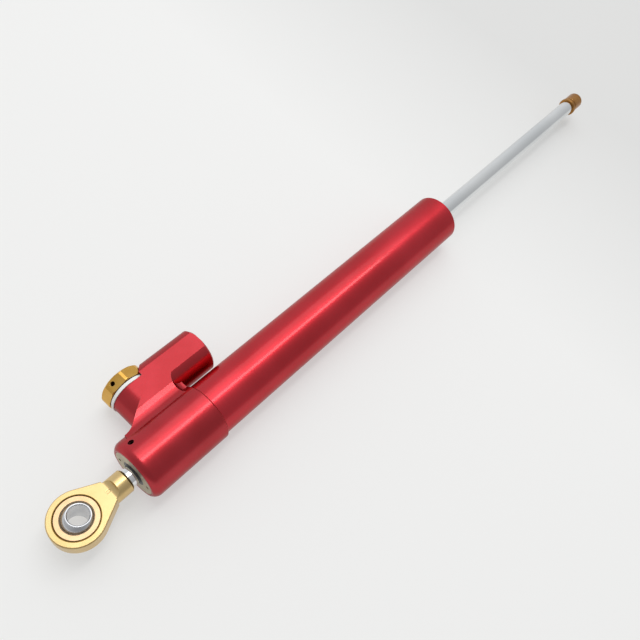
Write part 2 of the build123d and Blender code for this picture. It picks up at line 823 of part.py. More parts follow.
def needle_flats(start_y, end_y, grow):
    """Block between the needle's two flats, which keep it from turning."""
    half = needle_flat_half + grow
    length = end_y - start_y
    return Pos((start_y + end_y) / 2, 0, 0) * Box(length, 2 * (needle_r + cut_over), 2 * half)


def adjuster_needle():
    """Needle: cone, body with two flats, and the threaded stem that draws it."""
    body = disc(needle_body_y, needle_stem_y, needle_r)
    body &= needle_flats(needle_body_y, needle_stem_y, 0)
    cone = turned([(needle_y, 0), (needle_y, needle_tip_r),
                   (needle_body_y, needle_flat_half), (needle_body_y, 0)])
    return on_boss(cone + body + disc(needle_stem_y, needle_end_y, needle_stem_r))


def waist_end():
    """Far edge of the groove round the valve bush."""
    return waist_y + waist_length


def adjuster_bush():
    """Bush in the boss: guides needle and spindle, and lets oil past to the reservoir."""
    guide_end_y = spindle_y - spindle_gap / 2
    flange_room_y = boss_end_y - spindle_flange_length - 2 * face_gap
    bush = disc(chamber_end_y, boss_end_y, valve_bush_r)
    bush -= disc(chamber_end_y - cut_over, foot_end_y, valve_bush_r - foot_wall)
    guide = disc(foot_end_y - seat_fit, guide_end_y + seat_fit, needle_r + run_fit)
    bush -= guide & needle_flats(foot_end_y - cut_over, guide_end_y + cut_over, run_fit)
    bush -= disc(guide_end_y, boss_end_y + cut_over, spindle_r + run_fit)
    bush -= disc(flange_room_y, boss_end_y + cut_over, spindle_flange_r + face_gap)
    bush -= ring(waist_y, waist_end(), valve_bush_r - waist_depth, valve_bush_r + cut_over)
    bleed_pitch_r = valve_bush_r - waist_depth + bleed_r / 2
    bush -= side_pin(foot_end_y - cut_over, waist_y + bleed_r, 0, bleed_pitch_r, bleed_r)
    groove_y = waist_end() + bush_seal_inset + bush_seal_length / 2
    return on_boss(bush - seal_groove(groove_y, bush_seal_length,
                                      valve_bush_r - bush_seal_depth, valve_bush_r))


def adjuster_bush_o_ring():
    """Seal ring round the valve bush."""
    centre_y = waist_end() + bush_seal_inset + bush_seal_length / 2
    return on_boss(cord_ring(centre_y, valve_bush_r - bush_seal_depth, valve_bush_r + seat_fit))


def adjuster_spindle():
    """Spindle that the knob turns: threaded inside, flanged, with a seal groove and a slot."""
    flange_y = boss_end_y - face_gap - spindle_flange_length
    body = disc(spindle_y, spindle_end_y, spindle_r)
    body += disc(flange_y, boss_end_y - face_gap, spindle_flange_r)
    body -= disc(spindle_y - cut_over, needle_end_y + stop_gap, needle_stem_r + run_fit)
    body -= seal_groove(spindle_y + spindle_seal_inset, spindle_seal_length,
                        spindle_r - spindle_seal_depth, spindle_r)
    slot = Box(2 * slot_depth, 2 * spindle_flange_r, slot_width)
    return on_boss(body - Pos(spindle_end_y, 0, 0) * slot)


def spindle_o_ring():
    """Seal ring round the spindle."""
    return on_boss(cord_ring(spindle_y + spindle_seal_inset, spindle_r - spindle_seal_depth,
                             spindle_r + run_fit))


def detent_ring():
    """White ring between boss and knob, with the track that the detent balls run in."""
    plate = turned([(boss_end_y, spindle_r + run_fit), (boss_end_y, detent_ring_r),
                    (ring_end_y - detent_ring_chamfer, detent_ring_r),
                    (ring_end_y, detent_ring_r - detent_ring_chamfer),
                    (ring_end_y, spindle_r + run_fit)])
    track = ring(ring_end_y - track_depth, ring_end_y + cut_over,
                 detent_pitch_r - track_half, detent_pitch_r + track_half)
    return on_boss(plate - track)


def adjuster_knob():
    """Knob with milled finger flats, a dished end, a grub screw hole and detent holes."""
    blank = turned([(knob_y, spindle_r + seat_fit), (knob_y, knob_r - knob_foot_chamfer),
                    (knob_y + knob_foot_chamfer, knob_r), (knob_end_y - knob_chamfer, knob_r),
                    (knob_end_y, knob_r - knob_chamfer), (knob_end_y, spindle_r + seat_fit)])
    flats = RegularPolygon(knob_r - knob_flat_depth, knob_flat_count, major_radius=False)
    blank &= Pos(knob_y, 0, 0) * extrude(Plane.YZ * flats, knob_length)
    blank -= disc(spindle_end_y, knob_end_y + cut_over, dish_r)
    for angle in detent_angles_deg:
        blank -= side_pin(knob_y - cut_over, knob_y + detent_hole_depth, angle,
                          detent_pitch_r, detent_ball_r + face_gap)
    return on_boss(blank - radial_pin(knob_y + knob_screw_height, knob_screw_angle_deg, 0,
                                      knob_r + cut_over, knob_screw_r + seat_fit))


def knob_grub_screw():
    """Grub screw that clamps the knob on the spindle."""
    start_r = spindle_r + seat_fit
    return on_boss(grub_screw(knob_y + knob_screw_height, knob_screw_angle_deg, start_r,
                              start_r + knob_screw_length, knob_screw_r, knob_socket_width,
                              knob_socket_depth))


def detent_balls():
    """Two balls that click round in the detent ring's track."""
    balls = [Rot(-angle, 0, 0) * Pos(ring_end_y + detent_ball_lift, 0, detent_pitch_r)
             * Sphere(detent_ball_r) for angle in detent_angles_deg]
    return on_boss(balls[0] + balls[1])


def detent_springs():
    """Springs behind the balls, drawn as sleeves of the coils' size."""
    start_y = ring_end_y + detent_ball_lift + detent_ball_r
    end_y = knob_y + detent_hole_depth
    outer_r = detent_ball_r - seat_fit
    sleeves = [Rot(-angle, 0, 0) * Pos(0, 0, detent_pitch_r)
               * ring(start_y, end_y, outer_r - detent_spring_wall, outer_r)
               for angle in detent_angles_deg]
    return on_boss(sleeves[0] + sleeves[1])


# Reservoir

def reservoir_piston():
    """Floating piston with a seal groove and a spigot that centres the spring."""
    body_r = reservoir_bore_r - run_fit
    body = disc(float_x, float_end_x, body_r)
    body += disc(float_end_x, float_end_x + spring_spigot_length, spring_spigot_r)
    return on_reservoir(body - seal_groove((float_x + float_end_x) / 2, float_seal_length,
                                           body_r - float_seal_depth, body_r))


def reservoir_piston_o_ring():
    """Seal ring round the floating piston."""
    floor_r = reservoir_bore_r - run_fit - float_seal_depth
    return on_reservoir(cord_ring((float_x + float_end_x) / 2, floor_r, reservoir_bore_r))


def reservoir_plug():
    """Plug with a seal groove, a spigot for the spring and a hexagon socket."""
    body_r = reservoir_bore_r - seat_fit
    body = disc(plug_x, plug_end_x, body_r)
    body += disc(plug_x - spring_spigot_length, plug_x, spring_spigot_r)
    body -= seal_groove((plug_x + plug_end_x) / 2, plug_seal_length,
                        body_r - plug_seal_depth, body_r)
    socket_face = RegularPolygon(plug_socket_width / 2, 6, major_radius=False)
    socket = extrude(Plane.YZ * socket_face, plug_socket_depth + cut_over)
    return on_reservoir(body - Pos(plug_end_x - plug_socket_depth, 0, 0) * socket)


def reservoir_plug_o_ring():
    """Seal ring round the plug."""
    floor_r = reservoir_bore_r - seat_fit - plug_seal_depth
    return on_reservoir(cord_ring((plug_x + plug_end_x) / 2, floor_r, reservoir_bore_r))


def reservoir_circlip():
    """Clip that holds the plug in."""
    outer_r = reservoir_bore_r + plug_clip_depth - seat_fit
    inner_r = reservoir_bore_r - plug_clip_wall
    return on_reservoir(open_clip(plug_end_x, plug_end_x + plug_clip_length, inner_r, outer_r,
                                  plug_clip_opening))


def coil_point(turn, start_x, pitch):
    """Point and direction on the coil's centre line after a number of turns."""
    angle = 2 * pi * turn
    point = Vector(start_x + pitch * turn, spring_mean_r * cos(angle), spring_mean_r * sin(angle))
    way = Vector(pitch / (2 * pi), -spring_mean_r * sin(angle), spring_mean_r * cos(angle))
    return point, way.normalized()


def quarter_turn(turn, start_x, pitch):
    """Two arcs that touch and follow the coil for a quarter of a turn, and their midpoint."""
    here, way = coil_point(turn, start_x, pitch)
    there, next_way = coil_point(turn + 1 / 4, start_x, pitch)
    step = there - here
    both = way + next_way
    spread = 2 * (1 - way.dot(next_way))
    reach = (sqrt(step.dot(both) ** 2 + spread * step.dot(step)) - step.dot(both)) / spread
    knee, far_knee = here + way * reach, there - next_way * reach
    middle = (knee + far_knee) * (1 / 2)
    return [TangentArc(here, middle, tangent=way),
            TangentArc(middle, there, tangent=far_knee - knee)]


def reservoir_spring():
    """Coil spring between floating piston and plug, swept along quarter turns."""
    start_x = float_end_x + spring_wire_r + face_gap
    pitch = (spring_room_length - 2 * (spring_wire_r + face_gap)) / spring_turns
    arcs = []
    for quarter in range(4 * spring_turns):
        arcs += quarter_turn(quarter / 4, start_x, pitch)
    point, way = coil_point(0, start_x, pitch)
    section = Plane(origin=point, z_dir=way) * Circle(spring_wire_r)
    print("spring: gap between turns", round(pitch - 2 * spring_wire_r, 3), "mm")
    return on_reservoir(sweep(section, path=Wire(arcs)))


# Bump rings

def near_bump_ring():
    """Rubber ring on the near gland's inner face."""
    return ring(spigot_end_x, near_stop_x, rod_clear_r, bump_r)


def far_bump_ring():
    """Rubber ring on the far gland's inner face."""
    return ring(far_stop_x, far_spigot_x, rod_clear_r, bump_r)


# All pieces by name

far_face_x = tube_end_x - far_nose_sink
pieces = {
    "bearing_ball": bearing_ball(),
    "bearing_liner": bearing_liner(),
    "bearing_race": bearing_race(),
    "rod_end_eye": rod_end_eye(),
    "rod": rod(),
    "rod_end_cap": rod_end_cap(),
    "piston": piston(),
    "piston_circlips": piston_circlips(),
    "piston_band": piston_band(),
    "piston_expander": piston_expander(),
    "damper_tube": damper_tube(),
    "inner_tube": inner_tube(),
    "tube_o_ring": tube_o_ring(),
    "near_gland": near_gland(),
    "near_gland_o_rings": near_gland_o_rings(),
    "near_guide_bush": guide_bush(spigot_end_x, near_bush_length, 1),
    "near_rod_seal": rod_seal(collar_x, 1),
    "near_wiper": wiper(collar_x, 1),
    "gland_lock_screw": gland_lock_screw(),
    "far_gland": far_gland(),
    "far_gland_o_ring": far_gland_o_ring(),
    "far_guide_bush": guide_bush(far_spigot_x, far_bush_length, -1),
    "far_rod_seal": rod_seal(far_face_x, -1),
    "far_wiper": wiper(far_face_x, -1),
    "far_circlip": far_circlip(),
    "near_bump_ring": near_bump_ring(),
    "far_bump_ring": far_bump_ring(),
    "housing": housing(),
    "valve_seat": valve_seat(),
    "adjuster_needle": adjuster_needle(),
    "adjuster_bush": adjuster_bush(),
    "adjuster_bush_o_ring": adjuster_bush_o_ring(),
    "adjuster_spindle": adjuster_spindle(),
    "spindle_o_ring": spindle_o_ring(),
    "detent_ring": detent_ring(),
    "adjuster_knob": adjuster_knob(),
    "knob_grub_screw": knob_grub_screw(),
    "detent_balls": detent_balls(),
    "detent_springs": detent_springs(),
    "reservoir_piston": reservoir_piston(),
    "reservoir_piston_o_ring": reservoir_piston_o_ring(),
    "reservoir_spring": reservoir_spring(),
    "reservoir_plug": reservoir_plug(),
    "reservoir_plug_o_ring": reservoir_plug_o_ring(),
    "reservoir_circlip": reservoir_circlip(),
}


def rest_roll_deg():
    """Roll that sets the collar and the knob's outer edge on one plane."""
    edge_y = knob_end_y - knob_chamfer
    return degrees(asin(collar_r / hypot(edge_y, knob_r)) - atan2(knob_r, edge_y))


roll_deg = rest_roll_deg()
print("rolled by", round(roll_deg, 4), "degrees")
print("origin to cap", round(cap_x, 3), "boss", round(boss_x, 3), "reservoir", round(reservoir_y, 3))
print("needle travel", round(needle_travel, 5), "mm")
os.makedirs("parts", exist_ok=True)
for name, piece in pieces.items():
    export_step(Rot(-roll_deg, 0, 0) * piece, f"parts/{name}.step")
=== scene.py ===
import bpy
import numpy as np
from mathutils import Matrix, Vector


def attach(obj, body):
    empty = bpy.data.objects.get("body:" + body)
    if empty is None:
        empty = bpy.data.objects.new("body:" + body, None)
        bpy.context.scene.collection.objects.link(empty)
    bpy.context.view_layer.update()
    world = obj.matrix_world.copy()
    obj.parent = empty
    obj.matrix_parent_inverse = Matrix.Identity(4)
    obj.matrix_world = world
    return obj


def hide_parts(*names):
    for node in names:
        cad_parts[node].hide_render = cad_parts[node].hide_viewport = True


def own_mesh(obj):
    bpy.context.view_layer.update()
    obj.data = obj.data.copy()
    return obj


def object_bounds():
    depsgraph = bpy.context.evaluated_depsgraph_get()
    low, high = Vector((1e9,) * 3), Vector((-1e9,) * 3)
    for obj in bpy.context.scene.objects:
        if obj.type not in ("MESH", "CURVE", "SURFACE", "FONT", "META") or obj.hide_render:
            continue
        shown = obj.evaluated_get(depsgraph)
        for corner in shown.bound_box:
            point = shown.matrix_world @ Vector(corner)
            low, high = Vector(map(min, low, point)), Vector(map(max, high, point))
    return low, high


# Looks of a motorcycle steering damper, one section a piece, in the order it is put together.
# The frame is the CAD model's: the rod lies along X, the ball's centre is the origin, and the
# damper rests on its collar and its knob, rolled 5.29 degrees from the way that it was drawn.
# Lengths are in millimetres up to the last section, which is in metres.
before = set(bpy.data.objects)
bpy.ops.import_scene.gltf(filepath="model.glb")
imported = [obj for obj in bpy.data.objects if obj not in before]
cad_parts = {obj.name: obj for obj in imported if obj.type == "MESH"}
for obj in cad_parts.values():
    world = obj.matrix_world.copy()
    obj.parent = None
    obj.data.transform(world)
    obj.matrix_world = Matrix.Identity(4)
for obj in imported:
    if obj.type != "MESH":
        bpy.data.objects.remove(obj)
cad_box = [list(corner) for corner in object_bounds()]


# Rod end eye
# One piece of aluminium, milled and turned, blasted with fine beads and anodised gold. The
# blasting leaves the faces satin and even; the broken edges are cut last, and a painted highlight
# makes them brighter.

# Middle of the ball, and the way that the bolt goes through it, square to the eye's flats.
ball_centre = (0, 0, 0)
ball_axis = (0.0, 0.0922, 0.9957)
# Painted shade: the dark ring that the broken edge of the race's bore, in shade, draws on the eye.
bore_shade_r = (8.4, 8.8)
bore_shade_border = 0.1
# A noise seldom leaves its middle, so clouds and tool marks are read between these values.
cloud_low, cloud_high = 0.35, 0.65
mark_low, mark_high = 0.3, 0.7
# A painted highlight on broken edges starts where the rounded and the flat normal have the first
# cosine between them, and is full at the second, where the edge's colour has this share.
edge_highlight_starts, edge_highlight_full = 0.98, 0.8
edge_highlight_share = 0.6
# Rays that a point sends out to find an edge near it.
edge_rays = 6


def linear(code):
    """Linear colour of an sRGB hex code: each channel over 255, by the sRGB curve."""
    share = np.array([int(code[at:at + 2], 16) for at in (1, 3, 5)]) / 255
    curve = np.where(share > 0.04045, ((share + 0.055) / 1.055) ** 2.4, share / 12.92)
    return (*curve.tolist(), 1.0)


def add(owner, kind, settings=None, links=None):
    """Adds a node to a material or a world.

    Settings go to its properties or its sockets, links to its sockets.
    """
    node = owner.node_tree.nodes.new(kind)
    for name, value in (settings or {}).items():
        if isinstance(name, str) and name in node.bl_rna.properties:
            setattr(node, name, value)
        else:
            node.inputs[name].default_value = value
    for name, source in (links or {}).items():
        owner.node_tree.links.new(node.inputs[name], source)
    return node


def speckle(material, size_mm, detail=3.0):
    """Noise from 0 to 1 whose spots are size_mm long along X, Y and Z."""
    place = add(material, "ShaderNodeTexCoord").outputs["Object"]
    drawn = add(material, "ShaderNodeMapping", {"Scale": [1000 / size for size in size_mm]},
                {"Vector": place})
    noise = add(material, "ShaderNodeTexNoise", {"Scale": 1.0, "Detail": detail},
                {"Vector": drawn.outputs["Vector"]})
    return noise.outputs["Fac"]


def from_axis(material, centre_mm, axis):
    """A point's place along an axis and its distance from it, in metres."""
    place = add(material, "ShaderNodeTexCoord").outputs["Object"]
    centre = [value / 1000 for value in centre_mm]
    arm = add(material, "ShaderNodeVectorMath", {"operation": "SUBTRACT", 1: centre}, {0: place})
    along = add(material, "ShaderNodeVectorMath", {"operation": "DOT_PRODUCT", 1: axis},
                {0: arm.outputs["Vector"]})
    across = add(material, "ShaderNodeVectorMath", {"operation": "CROSS_PRODUCT", 1: axis},
                 {0: arm.outputs["Vector"]})
    out = add(material, "ShaderNodeVectorMath", {"operation": "LENGTH"},
              {0: across.outputs["Vector"]})
    return along.outputs["Value"], out.outputs["Value"]


def finished(name, colours, tool, cloud_mm, roughness, spread, relief_mm, edge_mm=0.0,
             metallic=1.0, coat=0.0, coat_roughness=0.1, slant="#FFFFFF"):
    """Material with slow clouds, tool marks and a painted highlight on broken edges.

    The clouds are cloud_mm wide and mix the first two colours. The tool is a function that
    draws its marks in the material: they move the roughness up and down by the spread and lift
    the surface by the relief. Where the surface turns away from itself within edge_mm, it is
    shaded round and takes the third colour, a painted highlight along the edge. Slant is the
    tint of what a metal mirrors at a low angle.
    """
    material = bpy.data.materials.new(name)
    material.use_nodes = True
    shader = material.node_tree.nodes["Principled BSDF"]
    marks = tool(material)
    cloud = add(material, "ShaderNodeMapRange", {"From Min": cloud_low, "From Max": cloud_high},
                {"Value": speckle(material, (cloud_mm, cloud_mm, cloud_mm))})
    colour = add(material, "ShaderNodeMix",
                 {"data_type": "RGBA", 6: linear(colours[0]), 7: linear(colours[1])},
                 {0: cloud.outputs["Result"]}).outputs[2]
    rough = add(material, "ShaderNodeMapRange",
                {"From Min": mark_low, "From Max": mark_high, "To Min": roughness - spread,
                 "To Max": roughness + spread}, {"Value": marks})
    bump = add(material, "ShaderNodeBump", {"Strength": 1.0, "Distance": relief_mm / 1000},
               {"Height": marks})
    if edge_mm:
        soft = add(material, "ShaderNodeBevel", {"samples": edge_rays, "Radius": edge_mm / 1000})
        flat = add(material, "ShaderNodeNewGeometry")
        agree = add(material, "ShaderNodeVectorMath", {"operation": "DOT_PRODUCT"},
                    {0: soft.outputs["Normal"], 1: flat.outputs["Normal"]})
        # Painted highlight: the pale third colour is mixed in along the broken edges.
        edge_highlight = add(material, "ShaderNodeMapRange",
                   {"From Min": edge_highlight_starts, "From Max": edge_highlight_full, "To Max": edge_highlight_share},
                   {"Value": agree.outputs["Value"]})
        colour = add(material, "ShaderNodeMix", {"data_type": "RGBA", 7: linear(colours[2])},
                     {0: edge_highlight.outputs["Result"], 6: colour}).outputs[2]
        material.node_tree.links.new(bump.inputs["Normal"], soft.outputs["Normal"])
    shader.inputs["Metallic"].default_value = metallic
    shader.inputs["Specular Tint"].default_value = linear(slant)
    shader.inputs["Coat Weight"].default_value = coat
    shader.inputs["Coat Roughness"].default_value = coat_roughness
    for socket, source in (("Base Color", colour), ("Roughness", rough.outputs["Result"]),
                           ("Normal", bump.outputs["Normal"])):
        material.node_tree.links.new(shader.inputs[socket], source)
    return material


def paint_shade_ring(material, centre_mm, axis, from_r, to_r, border, colour):
    """Paints shade: colours what lies between two distances from an axis, fading out across a
    border.
    """
    out = from_axis(material, centre_mm, axis)[1]
    inner = add(material, "ShaderNodeMapRange",
                {"From Min": (from_r - border) / 1000, "From Max": from_r / 1000},
                {"Value": out})
    outer = add(material, "ShaderNodeMapRange",
                {"From Min": (to_r + border) / 1000, "From Max": to_r / 1000},
                {"Value": out})
    both = add(material, "ShaderNodeMath", {"operation": "MULTIPLY"},
               {0: inner.outputs["Result"], 1: outer.outputs["Result"]})
    target = material.node_tree.nodes["Principled BSDF"].inputs["Base Color"]
    below = target.links[0].from_socket
    painted_shade = add(material, "ShaderNodeMix", {"data_type": "RGBA", 7: linear(colour)},
                  {0: both.outputs[0], 6: below})
    material.node_tree.links.new(target, painted_shade.outputs[2])


def dress(material, *names):
    """Gives CAD nodes a material in place of the one that they came with."""
    for name in names:
        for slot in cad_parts[name].material_slots:
            slot.material = material


def bead_dimples(material):
    """Dimples of the blasting beads: 0.15 mm across, drawn twice as large so that they show."""
    return speckle(material, (0.3, 0.3, 0.3), detail=2.0)


# Gold dye in a thin oxide on blasted aluminium: satin, pale where it faces the light, deeper
# and browner on the sides, with a painted highlight as a bright thin line along each broken edge.
blasted_gold = finished("gold anodised blasted aluminium", ("#D2B47A", "#D9BD85", "#FFF0B8"),
                        bead_dimples, cloud_mm=9.0, roughness=0.33, spread=0.04,
                        relief_mm=0.004, edge_mm=0.15, coat=0.2, coat_roughness=0.25)
# Painted shade: the race is pressed in past the broken edge of its bore, which stays in shade.
paint_shade_ring(blasted_gold, ball_centre, ball_axis, *bore_shade_r, bore_shade_border, "#6E5620")
dress(blasted_gold, "rod_end_eye")


# Ball joint
# A hard steel ball with two flat faces and a bolt hole, in a race of plated steel, with a
# woven liner set in resin between them. Ball and race are ground round the bolt's axis.


def lathe_marks(material, centre_mm, axis, feed_mm):
    """Noise from 0 to 1 in circles round an axis, as a tool leaves them at each turn.

    A point is read by its place along the axis and its distance from it, so the marks are
    hoops on a round face and circles on an end face, one feed_mm wide.
    """
    along, out = from_axis(material, centre_mm, axis)
    both = add(material, "ShaderNodeCombineXYZ", None, {"X": along, "Y": out})
    fed = add(material, "ShaderNodeVectorMath", {"operation": "SCALE", "Scale": 1000 / feed_mm},
              {0: both.outputs["Vector"]})
    noise = add(material, "ShaderNodeTexNoise", {"Scale": 1.0, "Detail": 2.0},
                {"Vector": fed.outputs["Vector"]})
    return noise.outputs["Fac"]


def grinding_round_bolt(material):
    """Grinding marks round the bolt: 0.02 mm apart, drawn 0.15 mm apart so that they show."""
    return lathe_marks(material, ball_centre, ball_axis, feed_mm=0.15)


def fine_grain(material):
    """Grain of 0.3 mm: yarns of cloth, pores of sintered metal, what plating or moulding leaves."""
    return speckle(material, (0.3, 0.3, 0.3))


# Ground steel: a hard bright mirror with hair-fine circles that soften what it reflects.
# Its broken edges take a pale painted highlight.
ground_steel = finished("ground bearing steel", ("#C6C7CA", "#D6D7D9", "#F2F3F4"),
                        grinding_round_bolt, cloud_mm=5.0, roughness=0.17, spread=0.05,
                        relief_mm=0.001, edge_mm=0.12)
# Yellow passivated zinc: a cream film over fine turned circles, duller than the ball.
# Its broken edges take a pale painted highlight.
plated_race = finished("yellow passivated zinc on steel", ("#D2AE84", "#DCBB92", "#F4DDB4"),
                       grinding_round_bolt, cloud_mm=4.0, roughness=0.30, spread=0.06,
                       relief_mm=0.002, edge_mm=0.12)
# Woven slippery yarn set in resin: a dull brown line round the ball.
liner_cloth = finished("resin bonded liner cloth", ("#76644C", "#867256"), fine_grain,
                       cloud_mm=3.0, roughness=0.6, spread=0.1, relief_mm=0.02, metallic=0.0)
dress(ground_steel, "bearing_ball")
dress(plated_race, "bearing_race")
dress(liner_cloth, "bearing_liner")


# Rod
# One steel bar, ground, hard chromed and polished, with a thread cut at each end: one goes
# into the eye and the other into the cap nut. Two narrow grooves take the piston's clips.

rod_axis = (1, 0, 0)
rod_r = 4.0
rod_chamfer = 0.2
clip_grooves_x = ((188.4, 189.2), (202.8, 203.6))
clip_groove_r = 3.4
eye_thread_x = (16.7, 22.1)
cap_thread_x = (358.5, 366.0)
thread_r = 3.0
thread_pitch = 1.0
thread_depth = 0.6
thread_chamfer = 0.5
thread_rows_a_turn = 12
# Stretch and shift of the thread's wave. Cut off at 0 and 1, they leave a flat of about a sixth
# of the pitch on the crest and of about a fifth in the root.
flank_stretch = 1.6
flank_shift = 0.25
# Metal of the eye behind its thread. It is 0.005 mm proud, so that no two faces coincide.
bore_end_x = (12.9, 16.6)
bore_end_r = 3.04
bore_end_half_height = 3.005
# Points round each turned piece, and the angle past which an edge is shaded sharp.
spokes = 96
sharp_deg = 40


def around(along, radius, centre=(0, 0, 0), axis=rod_axis, up=(0, 0, 1)):
    """Grid of points round an axis, a row for each place along it and a column for each spoke.

    At angle t a point is centre + along * axis + radius * (cos t * up + sin t * side), where
    side is at right angles to axis and up. The radius may differ from spoke to spoke.
    """
    turn = np.linspace(0, 2 * np.pi, spokes, endpoint=False)
    axis, up = np.array(axis), np.array(up)
    arm = np.cos(turn)[:, None] * up + np.sin(turn)[:, None] * np.cross(axis, up)
    along = np.asarray(along, float).reshape(-1, 1, 1)
    radius = np.broadcast_to(np.reshape(radius, (len(along), -1, 1)), (len(along), spokes, 1))
    return np.array(centre) + along * axis + radius * arm


def skin(name, grids, ring=True):
    """Mesh over grids of points in mm, one closed surface for each grid.

    Each face joins a point to the next one in its row and to the same two in the next row. The
    last column joins the first. The last row joins the first if it is a ring, and otherwise a
    flat face closes each end. Faces point outwards: a grid whose enclosed volume, the sum of
    the faces' triple products, comes out negative is turned round.
    """
    points, faces = [], []
    for grid in grids:
        index = np.arange(grid.shape[0] * grid.shape[1]).reshape(grid.shape[:2])
        beside = np.roll(index, -1, axis=1)
        quads = np.stack([index, beside, np.roll(beside, -1, axis=0), np.roll(index, -1, axis=0)],
                         axis=-1)
        quads = (quads if ring else quads[:-1]).reshape(-1, 4)
        flat = grid.reshape(-1, 3)
        corners = flat[quads] - flat.mean(axis=0)
        triple = np.einsum("ij,ij->i", corners[:, 0], np.cross(corners[:, 1], corners[:, 2]))
        triple += np.einsum("ij,ij->i", corners[:, 0], np.cross(corners[:, 2], corners[:, 3]))
        ends = [] if ring else [index[0, ::-1], index[-1]]
        start = sum(len(part) for part in points)
        step = 1 if triple.sum() > 0 else -1
        faces += (start + quads[:, ::step]).tolist()
        faces += [(start + end[::step]).tolist() for end in ends]
        points.append(flat)
    mesh = bpy.data.meshes.new(name)
    mesh.from_pydata((np.concatenate(points) / 1000).tolist(), [], faces)
    mesh.polygons.foreach_set("use_smooth", np.ones(len(faces), bool))
    mesh.set_sharp_from_angle(angle=np.radians(sharp_deg))
    piece = bpy.data.objects.new(name, mesh)
    bpy.context.scene.collection.objects.link(piece)
    return piece


def stand_for(piece, material, body, node):
    """Gives a new piece its material and the body that it rides on, and hides the CAD node that it
    stands for.
    """
    piece.data.materials.append(material)
    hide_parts(node)
    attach(piece, body)


def threaded(start_x, end_x):
    """Places along a thread and its radius there, a column for each spoke.

    The radius is the crest less the depth times a wave that rises and falls in straight lines
    once a pitch, held flat at crest and root, and that moves on by a pitch round the bar. Near
    each end it is held under a cone at 45 degrees.
    """
    count = round((end_x - start_x) / thread_pitch * thread_rows_a_turn) + 1
    along = np.linspace(start_x, end_x, count)
    turn = np.linspace(0, 1, spokes, endpoint=False)
    phase = (along[:, None] - start_x) / thread_pitch - turn
    wave = np.abs(2 * (phase - np.floor(phase)) - 1)
    radius = thread_r - thread_depth * np.clip(flank_stretch * wave - flank_shift, 0, 1)
    to_end = np.minimum(along - start_x, end_x - along)[:, None]
    return along, np.minimum(radius, thread_r - thread_chamfer + to_end)


def grinding_round_rod(material):
    """Grinding marks round the rod: 0.01 mm apart, drawn 0.3 mm apart so that they show."""
    return lathe_marks(material, ball_centre, rod_axis, feed_mm=0.3)


# The eye's metal behind the end of the thread. It closes the bore where the rod's thread, cut
# shorter here than the bore is deep, doesn't reach. It is a round bar cut level with the eye's
# two flats: what stands over them is pressed back along the ball's axis.
bore_grid = around(bore_end_x, (bore_end_r, bore_end_r), up=ball_axis)
height = bore_grid @ np.array(ball_axis)
over = height - np.clip(height, -bore_end_half_height, bore_end_half_height)
bore_end = skin("eye_bore_end", [bore_grid - over[..., None] * np.array(ball_axis)], ring=False)
bore_end.data.shade_flat()
bore_end.data.materials.append(blasted_gold)
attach(bore_end, "rod_assembly")

# Hard chrome, ground and polished: a bright mirror, a little soft, with faint hoops.
hard_chrome = finished("hard chromed ground steel", ("#DCDFE0", "#E6E8E8"), grinding_round_rod,
                       cloud_mm=30.0, roughness=0.08, spread=0.03, relief_mm=0.0004)
# Bare cut steel of the threads: greyer and rougher than the chrome.
cut_steel = finished("cut steel thread", ("#8E8F92", "#A2A3A5"), grinding_round_rod,
                     cloud_mm=3.0, roughness=0.35, spread=0.06, relief_mm=0.002)
# Corners of the shaft between the threads, as (x, radius).
shaft = [(eye_thread_x[1], rod_r - rod_chamfer), (eye_thread_x[1] + rod_chamfer, rod_r)]
for groove_start_x, groove_end_x in clip_grooves_x:
    shaft += [(groove_start_x, rod_r), (groove_start_x, clip_groove_r),
              (groove_end_x, clip_groove_r), (groove_end_x, rod_r)]
shaft += [(cap_thread_x[0] - rod_chamfer, rod_r), (cap_thread_x[0], rod_r - rod_chamfer)]
shaft = np.array(shaft)
near_along, near_radius = threaded(*eye_thread_x)
far_along, far_radius = threaded(*cap_thread_x)
shaft_radius = np.repeat(shaft[:, 1:], spokes, axis=1)
rod_along = np.concatenate([near_along, shaft[:, 0], far_along])
rod_radius = np.concatenate([near_radius, shaft_radius, far_radius])
rod_piece = skin("rod_with_threads", [around(rod_along, rod_radius)], ring=False)
stand_for(rod_piece, hard_chrome, "rod_assembly", "rod")
# The rows of faces before and after the shaft are thread, and so are the two end faces.
rod_piece.data.materials.append(cut_steel)
first_shaft_row = len(near_along)
last_shaft_row = len(near_along) + len(shaft) - 1
row = np.arange(len(rod_piece.data.polygons)) // spokes
on_thread = (row < first_shaft_row) | (row >= last_shaft_row)
rod_piece.data.polygons.foreach_set("material_index", on_thread.astype(np.int32))


# Piston
# An aluminium piston sits on the middle of the rod between two open clips of spring steel. A
# slippery band round it seals in the inner tube, pressed outwards by a rubber ring under it.

expander_x = (193.9, 198.1)
expander_r = (6.54, 7.54)
# Two tones of bare aluminium, and a paler third colour that is a painted highlight on the broken
# edges.
bare_aluminium = ("#BABBBE", "#CACBCD", "#E6E7E8")


def turning_round_rod(material):
    """Feed marks of the turning tool round the rod's axis, 0.1 mm wide."""
    return lathe_marks(material, ball_centre, rod_axis, feed_mm=0.1)


def rubber_grain(material):
    """Fine grain that the mould leaves on rubber, 0.2 mm."""
    return speckle(material, (0.2, 0.2, 0.2))


def oblong(x, r):
    """Corners of an oblong section that reaches from x[0] to x[1] and from r[0] to r[1]."""
    return [(x[0], r[0]), (x[1], r[0]), (x[1], r[1]), (x[0], r[1])]


